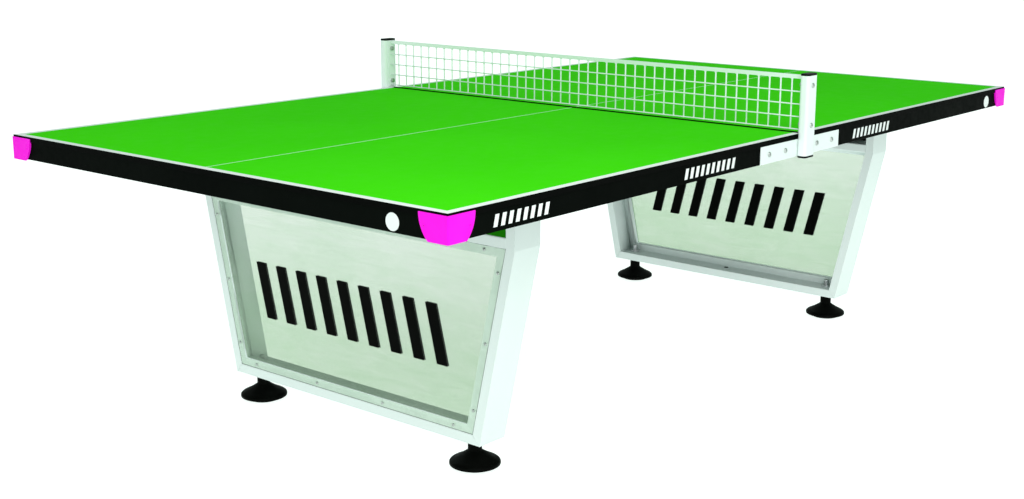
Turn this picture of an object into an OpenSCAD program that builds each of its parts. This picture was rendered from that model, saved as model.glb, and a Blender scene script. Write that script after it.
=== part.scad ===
// Static outdoor table tennis table with a steel net and two panelled leg frames.
// Units are millimetres. The origin is the centre of the footprint on the floor.
// +X runs along the table, +Y across it and +Z up. "near" is the -X half, "far" the +X half,
// "right" the -Y side and "left" the +Y side.

/* [Table top] */
// Length of the playing surface
table_l = 2740; // [2400:5:2800]
// Width of the playing surface
table_w = 1525; // [1300:5:1600]
// Height of the playing surface above the floor
table_h = 760; // [700:1:800]
// Thickness of the black laminate core
core_t = 13; // [8:0.5:25]
// Thickness of the green decor layer bonded on the core
decor_t = 1; // [0.8:0.1:2]
// Depth of the white lines let into the decor layer
line_t = 0.4; // [0.2:0.1:0.6]
// Width of the side lines and end lines
line_w = 20; // [10:1:30]
// Width of the centre line
centre_line_w = 3; // [2:1:6]
// Open seam between the two half tops
seam_gap = 22; // [2:1:26]

/* [Apron frame] */
// Height of the apron channels
apron_h = 46.5; // [30:0.5:80]
// Width of the channel flanges
flange_w = 30; // [15:1:50]
// Sheet thickness of the channels
apron_t = 3; // [1.5:0.5:5]
// Distance the core edge stands proud of the channels
apron_inset = 3; // [0:0.5:10]
// Width of the stiffening tubes
stringer_w = 30; // [20:1:50]
// Distance of the stiffening tubes from the long centre line
stringer_y = 380; // [200:5:600]

/* [Corner guards] */
// Length of each face of a corner guard
guard_l = 77; // [40:1:120]
// Height of a corner guard
guard_h = 58; // [40:1:60]
// Wall in front of the core edge
guard_t = 2.5; // [1.5:0.5:5]
// Distance from the playing surface down to the guard
guard_drop = 5; // [0:0.5:12]
// Radius of the curved side edge of each face
guard_r = 80; // [60:1:160]
// Distance of the rivet from the table corner
guard_rivet = 61; // [30:1:66]
// Radius of the rivet head
rivet_r = 2.4; // [2:0.1:6]

/* [Net and posts] */
// Height of the net above the playing surface
net_h = 152.5; // [140:0.5:160]
// Gap under the lowest wire
net_gap = 7; // [2:0.2:15]
// Height of the flat top band
band_h = 11; // [6:0.5:20]
// Thickness of the top band
band_t = 3; // [2:0.5:6]
// Pitch of the upright wires
mesh_pitch = 33.8; // [20:0.1:50]
// Diameter of the upright wires
wire_d = 4.2; // [3:0.1:6]
// Diameter of the level wires
level_wire_d = 3.4; // [3:0.1:6]
// Post width along the table
post_w = 50; // [30:1:80]
// Post depth across the table
post_d = 26; // [15:1:40]
// Wall of the post tube
post_t = 2; // [1.5:0.5:4]
// Corner radius of the post tube
post_r = 8; // [3:0.5:11]
// Length of the white plate that carries a post
plate_l = 412; // [200:2:600]
// Thickness of the post plate
plate_t = 3; // [2:0.5:6]
// Distance of the inner plate bolts from the post axis
plate_bolt_in = 83.5; // [40:0.5:120]
// Distance of the outer plate bolts from the post axis
plate_bolt_out = 165; // [100:0.5:280]

/* [Leg frames] */
// Distance of the outer leg face from the middle of the table
leg_x = 930.6; // [700:0.1:1200]
// Depth of a leg frame along the table
leg_d = 92; // [60:1:150]
// Half width of a leg frame at its lower edge
leg_foot_y = 448.7; // [300:0.1:600]
// Half width of a leg frame at its top
leg_top_y = 558.4; // [400:0.1:700]
// Height of the lower edge of a leg frame
leg_z = 77; // [50:1:150]
// Height at which the slanting sides turn upright
leg_kink_z = 573.2; // [400:0.1:650]
// Face width of the folded leg members
member_w = 26; // [20:0.5:50]
// Sheet thickness of the leg members
member_t = 2.5; // [1.5:0.5:4]
// Width of the rebate rim behind the panel
rim_w = 21.5; // [12:0.5:40]
// Depth of the rebate rim
rim_d = 19; // [10:0.5:40]
// Thickness of the clear panel
panel_t = 5; // [3:0.5:8]
// Open joint between the panel and the members round it
panel_gap = 1.2; // [0.5:0.1:3]
// Thickness of the plates welded on the leg tops
top_plate_t = 6; // [4:0.5:10]
// Open joint round the laminate board over each leg frame
board_gap = 1; // [0.5:0.5:4]

/* [Levelling feet] */
// Distance of a foot axis from the long centre line
foot_y = 393.7; // [200:0.1:500]
// Diameter of the foot pad
pad_d = 127; // [80:1:160]
// Height of the foot pad with its neck
pad_h = 66; // [40:1:80]
// Diameter of the pad neck
neck_d = 35; // [25:1:50]
// Diameter of the threaded stem
stem_d = 20; // [12:1:24]
// Height of the stem top at rest
stem_top = 125; // [110:1:140]
// Radial running clearance of the stem
stem_fit = 0.05; // [0.02:0.01:0.1]

/* [Hidden] */
apron_z0 = table_h - core_t - decor_t - apron_h;
apron_z1 = apron_z0 + apron_h;
half_l = table_l / 2;
half_w = table_w / 2;
seam_x = seam_gap / 2;
seam_bolt_l = seam_x + apron_t + 7;
apron_x = half_l - apron_inset;
apron_y = half_w - apron_inset;
half_frame_l = apron_x - seam_x;
leg_mid_x = leg_x - leg_d / 2;
net_top = table_h + net_h;
net_low = table_h + net_gap;
post_face = half_w;
post_out = post_face + post_d;
post_z0 = apron_z0 + 2.5;
cap_t = 5.5;
post_bolt_z = [net_top - 26, net_low + 15];
net_end = half_w - plate_t;
wire_rows = 4;
row_pitch = (net_top - band_h - net_low - level_wire_d / 2) / wire_rows;
wire_count = floor((net_end - mesh_pitch / 2) / mesh_pitch);
slant = atan((leg_top_y - leg_foot_y) / (leg_kink_z - leg_z));
top_z0 = leg_kink_z + member_w * tan(slant / 2);
top_z1 = top_z0 + member_w;
leg_top_z = apron_z0 + apron_t - top_plate_t;
bore_r = stem_d / 2 + stem_fit;
screw_line = member_w + rim_w / 2;
rim_x0 = panel_t + member_t;
rim_x1 = panel_t + rim_d - member_t;
screw_rows = [165, 338, 515];
rivet_z = apron_z0 + 29;
rivet_h = 1.2;
rivet_shank = 10;
rivet_bore = 1.7;
mark_z = 257;

// Which node to draw

// ---------- helpers ----------

// Draws its children on the far half, turned half a turn about the upright axis.
module far_side() {
  rotate([0, 0, 180]) children();
}

// Box between two corners.
module box(a, b) {
  translate(a) cube([b[0] - a[0], b[1] - a[1], b[2] - a[2]]);
}

// Box mirrored to both sides of the long centre line.
module box_pair(a, b) {
  box(a, b);
  mirror([0, 1, 0]) box(a, b);
}

// Plan outline of a channel layer with mitred ends.
module mitred(l, w) {
  polygon([[0, 0], [l, 0], [l - w, w], [w, w]]);
}

// C channel along +X, outer face on Y = 0, open towards +Y, both ends mitred.
module channel(l) {
  linear_extrude(apron_t) mitred(l, flange_w);
  linear_extrude(apron_h) mitred(l, apron_t);
  translate([0, 0, apron_h - apron_t]) linear_extrude(apron_t) mitred(l, flange_w);
}

// Domed button head standing on Z = 0, with a shank going down.
module button(head_r, head_h, shank_r, shank_l) {
  rotate_extrude($fn = 32)
    polygon([[0, -shank_l], [shank_r, -shank_l], [shank_r, 0], [head_r, 0], [head_r, 0.3 * head_h],
             [0.86 * head_r, 0.68 * head_h], [0.55 * head_r, 0.93 * head_h], [0, head_h]]);
}

// Hexagon bolt head standing on Z = 0.
module hexagon(r, h) {
  cylinder(r = r, h = h, $fn = 6);
}

// Point on the mitre line of the lower leg corner, s inwards from the outer edge.
function low(s) = [leg_foot_y + s * tan(slant) - s / cos(slant), leg_z + s];

// Point on the turn of the leg side, s inwards from the outer edge.
function turn(s) = [leg_top_y - s, leg_kink_z + s * tan(slant / 2)];

// Half width of the slanting line that lies s inwards, at height z.
function side_y(s, z) = leg_foot_y + (z - leg_z) * tan(slant) - s / cos(slant);
function side_point(s, z) = [side_y(s, z), z];

// Point on the mitre line of the upper rim corner.
function high(s) = [side_y(s, top_z0 - (s - member_w)), top_z0 - (s - member_w)];

// Mirrors a point to the other side of the long centre line.
function flip(p) = [-p[0], p[1]];

// Sheet standing across the table between depths u0 and u1 of the near leg.
module leg_layer(u0, u1) {
  translate([-leg_x + u0, 0, 0]) rotate([90, 0, 90]) linear_extrude(u1 - u0) children();
}

// Places its children on every panel screw axis of the near panel, pointing outwards.
module at_screws() {
  low_z = low(screw_line)[1];
  high_z = high(screw_line)[1];
  for (y = [-365, -122, 122, 365])
    translate([-leg_x, y, low_z]) rotate([0, -90, 0]) children();
  for (y = [-466, -155, 155, 466])
    translate([-leg_x, y, high_z]) rotate([0, -90, 0]) children();
  for (z = screw_rows)
    for (s = [-1, 1])
      translate([-leg_x, s * side_y(screw_line, z), z]) rotate([0, -90, 0]) children();
}

// Places its children on both foot axes of the near leg.
module at_feet() {
  for (s = [-1, 1]) translate([-leg_mid_x, s * foot_y, 0]) children();
}

// Places its children on both post axes, with +Z pointing out of the table.
module at_posts(face) {
  for (s = [-1, 1]) rotate([0, 0, s > 0 ? 180 : 0]) translate([0, -face, 0]) children();
}

// Rounded rectangle centred on the origin.
module rounded(w, d, r) {
  square([w - 2 * r, d], center = true);
  square([w, d - 2 * r], center = true);
  for (x = [-1, 1])
    for (y = [-1, 1])
      translate([x * (w / 2 - r), y * (d / 2 - r)]) circle(r = r, $fn = 48);
}

// Plan outline of a post or its bore, centred on the post axis.
module post_outline(inset) {
  rounded(post_w - 2 * inset, post_d - 2 * inset, post_r - inset);
}

// ---------- table top ----------

module core_near() {
  color([0.03, 0.04, 0.035])
    box([-half_l, -half_w, apron_z1], [-seam_x, half_w, apron_z1 + core_t]);
}

module line_strips(z0, z1) {
  box_pair([-half_l, half_w - line_w, z0], [-seam_x, half_w, z1]);
  box([-half_l, -half_w, z0], [-half_l + line_w, half_w, z1]);
  box([-half_l, -centre_line_w / 2, z0], [-seam_x, centre_line_w / 2, z1]);
}

module surface_near() {
  color([0.2, 0.75, 0.12]) difference() {
    box([-half_l, -half_w, table_h - decor_t], [-seam_x, half_w, table_h]);
    line_strips(table_h - line_t, table_h + 1);
  }
}

module court_lines() {
  color([0.95, 0.95, 0.95]) {
    line_strips(table_h - line_t, table_h);
    far_side() line_strips(table_h - line_t, table_h);
  }
}

// ---------- apron frame ----------

// Rivet holes of the near right corner guard.
module guard_bores(r) {
  translate([-half_l + guard_rivet, -half_w - 5, rivet_z]) rotate([-90, 0, 0])
    cylinder(r = r, h = 12, $fn = 24);
  translate([-half_l - 5, -half_w + guard_rivet, rivet_z]) rotate([0, 90, 0])
    cylinder(r = r, h = 12, $fn = 24);
}

// Plate bolt holes of the near right quarter.
module plate_bores(r) {
  for (x = [plate_bolt_in, plate_bolt_out])
    translate([-x, -half_w - 5, apron_z0 + apron_h / 2]) rotate([-90, 0, 0])
      cylinder(r = r, h = 12, $fn = 24);
}

module side_rail_near_right() {
  color([0.03, 0.04, 0.035]) difference() {
    translate([-apron_x, -apron_y, apron_z0]) channel(half_frame_l);
    guard_bores(rivet_bore);
    plate_bores(4.2);
  }
}

module side_rail_near_left() {
  mirror([0, 1, 0]) side_rail_near_right();
}

module end_rail_near() {
  color([0.03, 0.04, 0.035]) difference() {
    translate([-apron_x, apron_y, apron_z0]) rotate([0, 0, -90]) channel(2 * apron_y);
    guard_bores(rivet_bore);
    mirror([0, 1, 0]) guard_bores(rivet_bore);
  }
}

// Seam bolt axes, pointing along +X from the middle of the seam.
module at_seam_bolts() {
  for (y = [-600, -200, 200, 600])
    translate([0, y, apron_z0 + apron_h / 2]) rotate([0, 90, 0]) children();
}

module centre_rail_near() {
  color([0.03, 0.04, 0.035]) difference() {
    translate([-seam_x, -apron_y, apron_z0]) rotate([0, 0, 90]) channel(2 * apron_y);
    at_seam_bolts() translate([0, 0, -seam_bolt_l]) cylinder(r = 5.2, h = 2 * seam_bolt_l, $fn = 24);
  }
}

module seam_bolts() {
  color([0.6, 0.62, 0.64]) at_seam_bolts() {
    translate([0, 0, -seam_x]) cylinder(r = 12, h = seam_gap, $fn = 32);
    translate([0, 0, -seam_bolt_l]) cylinder(r = 5, h = 2 * seam_bolt_l, $fn = 24);
    translate([0, 0, seam_x + apron_t]) hexagon(9.5, 8);
    translate([0, 0, -seam_x - apron_t - 8]) hexagon(9.5, 8);
  }
}

// Leg bolt axes on the near beam, on the underside of the top plates.
module at_leg_bolts() {
  for (s = [-1, 1])
    for (t = [-1, 1])
      translate([-leg_mid_x, s * (leg_top_y - member_w / 2) + t * 31, leg_top_z]) children();
}

module leg_beam_near() {
  x0 = -leg_x;
  x1 = -leg_x + leg_d;
  z0 = apron_z0 + apron_t;
  y_in = apron_y - flange_w;
  y_web = apron_y - apron_t;
  color([0.03, 0.04, 0.035]) difference() {
    union() {
      box([x0, -y_in, z0], [x1, y_in, apron_z1]);
      box([x0, -y_web, z0], [x1, y_web, apron_z1 - apron_t]);
    }
    box([x0 + 3, -half_w, z0 + 3], [x1 - 3, half_w, apron_z1 - apron_t - 3]);
    at_leg_bolts() translate([0, 0, -2]) cylinder(r = 5.2, h = 18, $fn = 24);
  }
}

// One square tube of the longitudinal stiffening, from x0 to x1.
module stringer(x0, x1) {
  z0 = apron_z0 + apron_t;
  z1 = apron_z1 - apron_t;
  difference() {
    box([x0, stringer_y - stringer_w / 2, z0], [x1, stringer_y + stringer_w / 2, z1]);
    box([x0 - 1, stringer_y - stringer_w / 2 + 3, z0 + 3], [x1 + 1, stringer_y + stringer_w / 2 - 3, z1 - 3]);
  }
}

module stringers() {
  color([0.03, 0.04, 0.035])
    for (a = [0, 180])
      rotate([0, 0, a])
        for (m = [0, 1])
          mirror([0, m, 0]) {
            stringer(-apron_x + apron_t, -leg_x);
            stringer(-leg_x + leg_d, -seam_x - apron_t);
          }
}

// Board of top laminate, from depth u0 to u1, that closes the leg frame above its top member.
module fascia_layer(u0, u1) {
  y = leg_top_y - member_w - board_gap;
  box([-leg_x + u0, -y, top_z1], [-leg_x + u1, y, leg_top_z - board_gap]);
}

module fascia_boards() {
  color([0.03, 0.04, 0.035]) {
    fascia_layer(decor_t, decor_t + core_t);
    far_side() fascia_layer(decor_t, decor_t + core_t);
  }
}

module fascia_sheets() {
  color([0.2, 0.75, 0.12]) {
    fascia_layer(0, decor_t);
    far_side() fascia_layer(0, decor_t);
  }
}

// ---------- corner guards ----------

// Outline of one guard face, its corner edge on X = 0 and its top on Y = guard_h.
module guard_face(l) {
  intersection() {
    square([l, guard_h]);
    translate([l - guard_r, guard_h]) circle(r = guard_r, $fn = 192);
  }
}

// One face of a corner guard in the frame of the table corner.
module guard_arm() {
  rotate([90, 0, 0]) linear_extrude(guard_t) guard_face(guard_l);
  translate([0, apron_inset, 0]) rotate([90, 0, 0]) linear_extrude(apron_inset)
    intersection() {
      guard_face(guard_l);
      square([guard_l, apron_z1 - (table_h - guard_drop - guard_h)]);
    }
}

module guard_near_right() {
  z0 = table_h - guard_drop - guard_h;
  color([1, 0.05, 0.85]) difference() {
    translate([-half_l, -half_w, z0]) {
      guard_arm();
      mirror([1, -1, 0]) guard_arm();
      intersection() {
        cylinder(r = guard_t, h = guard_h, $fn = 48);
        box([-guard_t - 1, -guard_t - 1, 0], [0, 0, guard_h]);
      }
    }
    guard_bores(rivet_bore);
  }
}

// Rivets of the near right guard.
module guard_rivet_pair() {
  translate([-half_l + guard_rivet, -half_w - guard_t, rivet_z]) rotate([90, 0, 0])
    button(rivet_r, rivet_h, rivet_bore - 0.1, rivet_shank);
  translate([-half_l - guard_t, -half_w + guard_rivet, rivet_z]) rotate([0, -90, 0])
    button(rivet_r, rivet_h, rivet_bore - 0.1, rivet_shank);
}

module guard_rivets() {
  color([0.1, 0.05, 0.09])
    for (a = [0, 180])
      rotate([0, 0, a])
        for (m = [0, 1])
          mirror([0, m, 0]) guard_rivet_pair();
}

// ---------- posts and net ----------

module post_plate_right() {
  color([0.93, 0.94, 0.95]) difference() {
    box([-plate_l / 2, -apron_y - plate_t, apron_z0], [plate_l / 2, -apron_y, apron_z1]);
    plate_bores(4.2);
    mirror([1, 0, 0]) plate_bores(4.2);
  }
}

module plate_bolts() {
  z = apron_z0 + apron_h / 2;
  color([0.85, 0.86, 0.87]) at_posts(apron_y + plate_t)
    for (x = [-plate_bolt_out, -plate_bolt_in, plate_bolt_in, plate_bolt_out])
      translate([x, 0, z]) rotate([90, 0, 0]) {
        button(7, 4, 4, 14);
        translate([0, 0, -plate_t - apron_t - 6.5]) hexagon(7.5, 6.5);
      }
}

// Post bolt bores of the right post.
module post_bores(r) {
  for (z = post_bolt_z)
    translate([0, -post_out - 5, z]) rotate([-90, 0, 0]) cylinder(r = r, h = post_d + 12, $fn = 24);
}

module post_right() {
  color([0.93, 0.94, 0.95]) difference() {
    translate([0, -post_face - post_d / 2, post_z0]) linear_extrude(net_top - post_z0)
      difference() {
        post_outline(0);
        post_outline(post_t);
      }
    post_bores(4.2);
  }
}

module post_caps() {
  color([0.04, 0.04, 0.045]) at_posts(post_face + post_d / 2) {
    translate([0, 0, net_top]) linear_extrude(cap_t) post_outline(0);
    translate([0, 0, net_top - 12]) linear_extrude(12) post_outline(post_t + 0.2);
    translate([0, 0, post_z0 - cap_t]) linear_extrude(cap_t) post_outline(0);
    translate([0, 0, post_z0]) linear_extrude(12) post_outline(post_t + 0.2);
  }
}

module post_bolts() {
  color([0.85, 0.86, 0.87]) at_posts(post_out)
    for (z = post_bolt_z)
      translate([0, 0, z]) rotate([90, 0, 0]) {
        button(7, 3.5, 4, post_d + plate_t + 8);
        translate([0, 0, -post_d - plate_t - 6.5]) hexagon(7.5, 6.5);
      }
}

module net_flange_right() {
  color([0.93, 0.94, 0.95]) difference() {
    box([-14, -half_w, net_low - 3], [14, -net_end, net_top]);
    post_bores(4.2);
  }
}

module net_band() {
  color([0.93, 0.94, 0.95])
    box([-band_t / 2, -net_end, net_top - band_h], [band_t / 2, net_end, net_top]);
}

module net_mesh() {
  upright_h = net_top - band_h - net_low;
  front_x = -(wire_d + level_wire_d) / 2 + 0.6;
  color([0.93, 0.94, 0.95]) {
    for (k = [0:wire_count])
      for (s = [-1, 1])
        translate([0, s * (k + 0.5) * mesh_pitch, net_low]) cylinder(d = wire_d, h = upright_h, $fn = 12);
    for (k = [0:wire_rows - 1])
      translate([front_x, -net_end, net_low + level_wire_d / 2 + k * row_pitch]) rotate([-90, 0, 0])
        cylinder(d = level_wire_d, h = 2 * net_end, $fn = 12);
  }
}

// ---------- leg frames ----------

// Side member outline on the left, from s0 to s1 inwards from the outer edge.
module side_strip(s0, s1, foot0, foot1) {
  polygon([foot0, turn(s0), [leg_top_y - s0, leg_top_z], [leg_top_y - s1, leg_top_z], turn(s1), foot1]);
}

module leg_near_left() {
  wall = member_t;
  in0 = member_w - wall;
  in1 = member_w + rim_w - wall;
  foot_z = leg_z - 1;
  head_z = top_z0 - 1;
  color([0.93, 0.94, 0.95]) difference() {
    union() {
      leg_layer(0, leg_d) side_strip(0, member_w, low(0), low(member_w));
      leg_layer(panel_t, panel_t + rim_d)
        polygon([low(member_w), low(member_w + rim_w), high(member_w + rim_w), high(member_w)]);
    }
    leg_layer(wall, leg_d - wall)
      side_strip(wall, in0, side_point(wall, foot_z), side_point(in0, foot_z));
    leg_layer(panel_t + wall, panel_t + rim_d - wall)
      polygon([side_point(in0, foot_z), side_point(in1, foot_z),
               side_point(in1, head_z), side_point(in0, head_z)]);
    at_screws() translate([0, 0, -16]) cylinder(r = 2.2, h = 17, $fn = 20);
  }
}

// Outline across the table between the mitres, from s0 to s1 above the lower edge.
module low_strip(s0, s1) {
  polygon([low(s0), low(s1), flip(low(s1)), flip(low(s0))]);
}

// Outline across the table under the top member, from s0 to s1 on the rim mitre.
module high_strip(s0, s1) {
  polygon([high(s0), flip(high(s0)), flip(high(s1)), high(s1)]);
}

// Hollow of a level member, open at both ends.
module level_hollow(u0, u1, z0, z1) {
  box([-leg_x + u0, -half_w, z0], [-leg_x + u1, half_w, z1]);
}

module leg_near_bottom() {
  wall = member_t;
  color([0.93, 0.94, 0.95]) difference() {
    union() {
      leg_layer(0, leg_d) low_strip(0, member_w);
      leg_layer(panel_t, panel_t + rim_d) low_strip(member_w, member_w + rim_w);
    }
    level_hollow(wall, leg_d - wall, leg_z + wall, leg_z + member_w - wall);
    level_hollow(rim_x0, rim_x1, leg_z + member_w - wall, leg_z + member_w + rim_w - wall);
    at_screws() translate([0, 0, -16]) cylinder(r = 2.2, h = 17, $fn = 20);
    at_feet() translate([0, 0, leg_z - 1]) cylinder(r = 15.1, h = member_w + 2, $fn = 48);
    translate([-leg_mid_x, 0, leg_z - 1]) cylinder(r = 6, h = member_w + 2, $fn = 32);
  }
}

module leg_near_top() {
  wall = member_t;
  y = leg_top_y - member_w;
  color([0.93, 0.94, 0.95]) difference() {
    union() {
      box([-leg_x, -y, top_z0], [-leg_x + leg_d, y, top_z1]);
      leg_layer(panel_t, panel_t + rim_d) high_strip(member_w, member_w + rim_w);
    }
    level_hollow(wall, leg_d - wall, top_z0 + wall, top_z1 - wall);
    level_hollow(rim_x0, rim_x1, top_z0 - rim_w + wall, top_z0 + wall);
    at_screws() translate([0, 0, -16]) cylinder(r = 2.2, h = 17, $fn = 20);
  }
}

module panel_near() {
  edge = member_w + panel_gap;
  color([0.8, 0.9, 0.85, 0.35]) difference() {
    leg_layer(0, panel_t) polygon([low(edge), high(edge), flip(high(edge)), flip(low(edge))]);
    at_screws() translate([0, 0, -16]) cylinder(r = 2.2, h = 17, $fn = 20);
  }
}

module panel_screws() {
  color([0.8, 0.81, 0.82]) {
    at_screws() button(4.2, 2.2, 2, 13);
    far_side() at_screws() button(4.2, 2.2, 2, 13);
  }
}

module leg_top_plates() {
  y0 = leg_top_y - member_w / 2 - 46;
  color([0.93, 0.94, 0.95])
    for (a = [0, 180])
      rotate([0, 0, a]) difference() {
        box_pair([-leg_x, y0, leg_top_z], [-leg_x + leg_d, y0 + 92, leg_top_z + top_plate_t]);
        at_leg_bolts() translate([0, 0, -2]) cylinder(r = 5.2, h = 12, $fn = 24);
      }
}

module leg_bolts() {
  color([0.6, 0.62, 0.64])
    for (a = [0, 180])
      rotate([0, 0, a]) at_leg_bolts() {
        translate([0, 0, -7]) hexagon(9.5, 7);
        cylinder(r = 5, h = 19, $fn = 24);
        translate([0, 0, top_plate_t + 3]) hexagon(9, 8);
      }
}

// ---------- plain marks ----------

// One leaning bar.
module leaning_bar(w, h) {
  polygon([[0, 0], [w, 0], [w + h / 4, h], [h / 4, h]]);
}

// Row of leaning bars centred on X = 0.
module bar_row(count, w, h, pitch) {
  for (k = [0:count - 1])
    translate([(k - (count - 1) / 2) * pitch - w / 2 - h / 8, 0]) leaning_bar(w, h);
}

// Marks of the near panel, the same on both of its faces.
module panel_mark_layers() {
  for (u = [-0.3, panel_t])
    translate([0, 0, mark_z]) leg_layer(u, u + 0.3) bar_row(9, 36, 150, 78);
}

module panel_marks() {
  color([0.03, 0.03, 0.03]) {
    panel_mark_layers();
    far_side() panel_mark_layers();
  }
}

// Marks on the right side and the near end of the apron.
module apron_marks() {
  for (m = [[-1144, 8], [-436, 10], [408, 10]])
    translate([m[0], -apron_y, apron_z0 + 10]) rotate([90, 0, 0])
      linear_extrude(0.3) bar_row(m[1], 12, 26, 23);
  translate([1231, -apron_y, apron_z0 + 22.5]) rotate([90, 0, 0]) cylinder(r = 19, h = 0.3, $fn = 48);
  translate([-apron_x, -609, apron_z0 + 22.5]) rotate([0, -90, 0]) cylinder(r = 19, h = 0.3, $fn = 48);
}

module rail_marks() {
  color([0.93, 0.94, 0.95]) {
    apron_marks();
    far_side() apron_marks();
  }
}

// ---------- levelling feet ----------

module foot_bush() {
  difference() {
    union() {
      translate([0, 0, leg_z]) cylinder(r = 15, h = member_w, $fn = 48);
      translate([0, 0, leg_z + member_w]) cylinder(r = 17, h = 5, $fn = 48);
    }
    translate([0, 0, leg_z - 1]) cylinder(r = bore_r, h = member_w + 8, $fn = 64);
  }
}

module foot_bushes() {
  color([0.85, 0.86, 0.87]) {
    at_feet() foot_bush();
    far_side() at_feet() foot_bush();
  }
}

module foot_locknut() {
  translate([0, 0, pad_h + 0.5]) difference() {
    hexagon(17.3, leg_z - pad_h - 0.5);
    translate([0, 0, -1]) cylinder(r = stem_d / 2 + 0.1, h = 14, $fn = 64);
  }
}

module foot_locknuts() {
  color([0.04, 0.04, 0.045]) {
    at_feet() foot_locknut();
    far_side() at_feet() foot_locknut();
  }
}

// Foot pad with a raised sole edge, a cone and a socket neck.
module pad() {
  r = pad_d / 2;
  n = neck_d / 2;
  color([0.05, 0.05, 0.055]) rotate_extrude($fn = 96)
    polygon([[0, 0], [42, 0], [43, 3], [r - 2, 8.5], [r, 10], [r, 16], [r - 2, 18.5], [n + 2, 44],
             [n, 46.5], [n, pad_h - 1], [n - 1, pad_h], [bore_r, pad_h], [bore_r, 20], [0, 20]]);
}

// Threaded stem standing in the pad socket.
module stem() {
  r = stem_d / 2;
  color([0.7, 0.71, 0.72]) difference() {
    rotate_extrude($fn = 64)
      polygon([[0, 20], [r - 1, 20], [r, 21], [r, stem_top - 1.5], [r - 1.5, stem_top], [0, stem_top]]);
    translate([0, 0, stem_top - 8]) cylinder(r = 5.8, h = 9, $fn = 6);
  }
}

// Moves its children onto one foot axis: e is -1 near or 1 far, s is -1 right or 1 left.
module on_foot(e, s) {
  translate([e * leg_mid_x, s * foot_y, 0]) children();
}

// ---------- the same pieces on the other sides ----------

module core_far() { far_side() core_near(); }
module surface_far() { far_side() surface_near(); }
module end_rail_far() { far_side() end_rail_near(); }
module side_rail_far_right() { far_side() side_rail_near_left(); }
module side_rail_far_left() { far_side() side_rail_near_right(); }
module centre_rail_far() { far_side() centre_rail_near(); }
module leg_beam_far() { far_side() leg_beam_near(); }
module guard_near_left() { mirror([0, 1, 0]) guard_near_right(); }
module guard_far_right() { far_side() guard_near_left(); }
module guard_far_left() { far_side() guard_near_right(); }
module post_plate_left() { far_side() post_plate_right(); }
module post_left() { far_side() post_right(); }
module net_flange_left() { far_side() net_flange_right(); }
module leg_near_right() { mirror([0, 1, 0]) leg_near_left(); }
module leg_far_bottom() { far_side() leg_near_bottom(); }
module leg_far_top() { far_side() leg_near_top(); }
module leg_far_right() { far_side() leg_near_left(); }
module leg_far_left() { far_side() leg_near_right(); }
module panel_far() { far_side() panel_near(); }
module pad_near_right() { on_foot(-1, -1) pad(); }
module pad_near_left() { on_foot(-1, 1) pad(); }
module pad_far_right() { on_foot(1, -1) pad(); }
module pad_far_left() { on_foot(1, 1) pad(); }
module stem_near_right() { on_foot(-1, -1) stem(); }
module stem_near_left() { on_foot(-1, 1) stem(); }
module stem_far_right() { on_foot(1, -1) stem(); }
module stem_far_left() { on_foot(1, 1) stem(); }

// ---------- nodes ----------

core_near();
core_far();
surface_near();
surface_far();
court_lines();
end_rail_near();
end_rail_far();
side_rail_near_right();
side_rail_near_left();
side_rail_far_right();
side_rail_far_left();
centre_rail_near();
centre_rail_far();
leg_beam_near();
leg_beam_far();
stringers();
seam_bolts();
fascia_boards();
fascia_sheets();
guard_near_right();
guard_near_left();
guard_far_right();
guard_far_left();
guard_rivets();
post_plate_right();
post_plate_left();
plate_bolts();
post_right();
post_left();
post_caps();
post_bolts();
net_band();
net_mesh();
net_flange_right();
net_flange_left();
leg_near_bottom();
leg_near_top();
leg_near_right();
leg_near_left();
leg_far_bottom();
leg_far_top();
leg_far_right();
leg_far_left();
panel_near();
panel_far();
panel_screws();
leg_top_plates();
leg_bolts();
panel_marks();
rail_marks();
foot_bushes();
foot_locknuts();
pad_near_right();
pad_near_left();
pad_far_right();
pad_far_left();
stem_near_right();
stem_near_left();
stem_far_right();
stem_far_left();
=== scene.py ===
import math

import bmesh
import bpy
from mathutils import Matrix, Vector


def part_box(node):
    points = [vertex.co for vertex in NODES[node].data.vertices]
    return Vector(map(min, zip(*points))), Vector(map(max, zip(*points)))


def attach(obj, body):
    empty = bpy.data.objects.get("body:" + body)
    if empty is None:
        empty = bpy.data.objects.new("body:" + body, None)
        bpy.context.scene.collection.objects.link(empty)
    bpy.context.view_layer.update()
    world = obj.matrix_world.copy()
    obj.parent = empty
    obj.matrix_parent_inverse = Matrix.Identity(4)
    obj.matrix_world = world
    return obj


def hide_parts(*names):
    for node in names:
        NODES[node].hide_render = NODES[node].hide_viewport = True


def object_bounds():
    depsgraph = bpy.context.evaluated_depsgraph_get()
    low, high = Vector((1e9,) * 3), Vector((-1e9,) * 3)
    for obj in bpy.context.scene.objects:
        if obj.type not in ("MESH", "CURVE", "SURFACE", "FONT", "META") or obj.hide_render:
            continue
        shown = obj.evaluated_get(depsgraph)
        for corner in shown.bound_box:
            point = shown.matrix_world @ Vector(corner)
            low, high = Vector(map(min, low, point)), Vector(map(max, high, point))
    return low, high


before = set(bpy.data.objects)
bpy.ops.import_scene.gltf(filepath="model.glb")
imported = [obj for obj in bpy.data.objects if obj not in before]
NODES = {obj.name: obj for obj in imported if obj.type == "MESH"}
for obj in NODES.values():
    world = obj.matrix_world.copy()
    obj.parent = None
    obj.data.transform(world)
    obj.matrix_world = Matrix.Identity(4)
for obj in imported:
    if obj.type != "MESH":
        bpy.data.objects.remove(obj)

bpy.context.view_layer.update()
cad_low, cad_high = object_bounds()
scene = bpy.context.scene
MM = 0.001

# ---------------------------------------------------------------- camera
CAMERA_AT = Vector((-3.3447, -2.6033, 1.3267))
HEADING = math.radians(39.4519)
TILT = math.radians(-12.6294)
ROLL = math.radians(0.2656)
FOCAL_PX = 1435.6
SHIFT = (-0.0220, -0.0162)
FRAME_W = 1024
SENSOR = 36.0


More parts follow.
